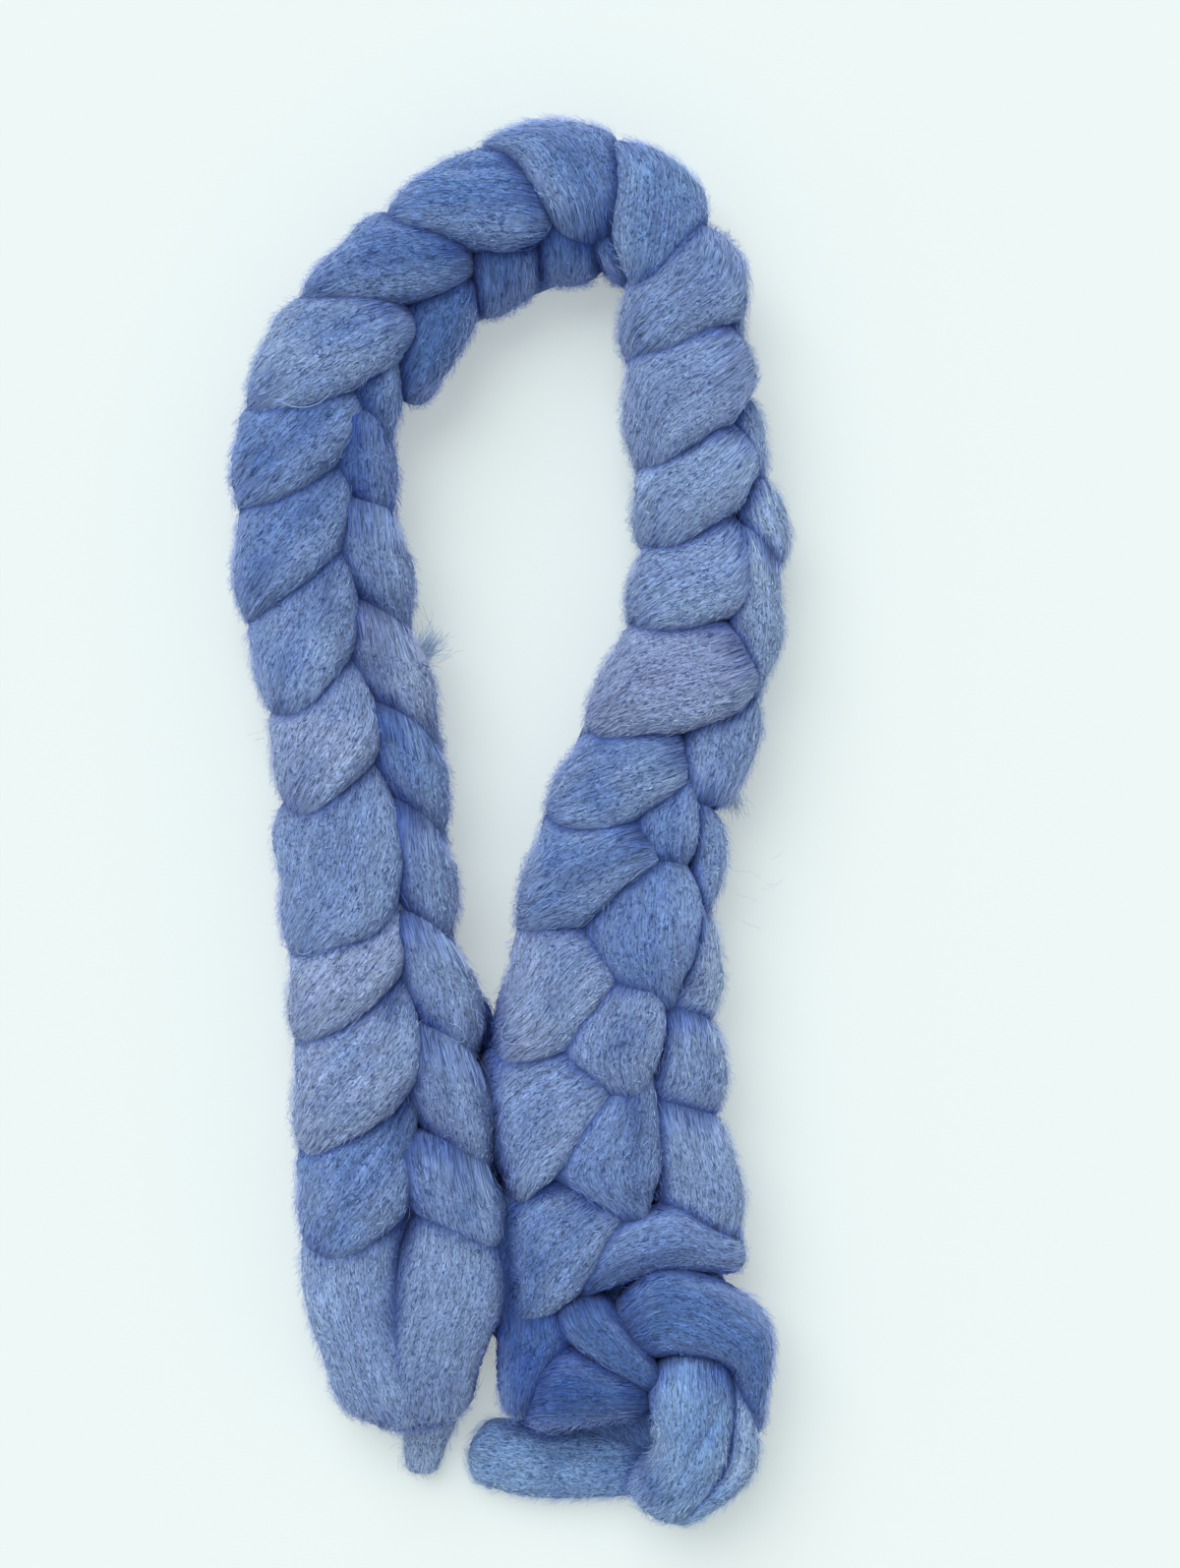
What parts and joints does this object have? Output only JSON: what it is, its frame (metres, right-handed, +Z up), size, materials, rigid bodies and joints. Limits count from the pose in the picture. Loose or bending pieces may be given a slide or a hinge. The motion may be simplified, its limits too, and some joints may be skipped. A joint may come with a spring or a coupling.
{
  "type": "braid of wool roving",
  "caption": "Hank of combed wool top chain-plaited by hand into a thick soft braid and laid down in a tall narrow U, with a knot at one end and a finishing loop at the other.",
  "frame": {"origin": "centre of the hank's bounding box, on the surface it lies on", "axes": "+Y along the two limbs towards the bend of the U, +X from the finishing end towards the starting knot, +Z up from the surface"},
  "size_m": [0.2141, 0.535, 0.0449],
  "materials": {
    "dyed_wool": "matt combed wool fibre, kettle dyed in mixed periwinkle and lavender blues"
  },
  "bodies": {
    "root": {"roving_braid": "dyed_wool"}
  },
  "joints": []
}
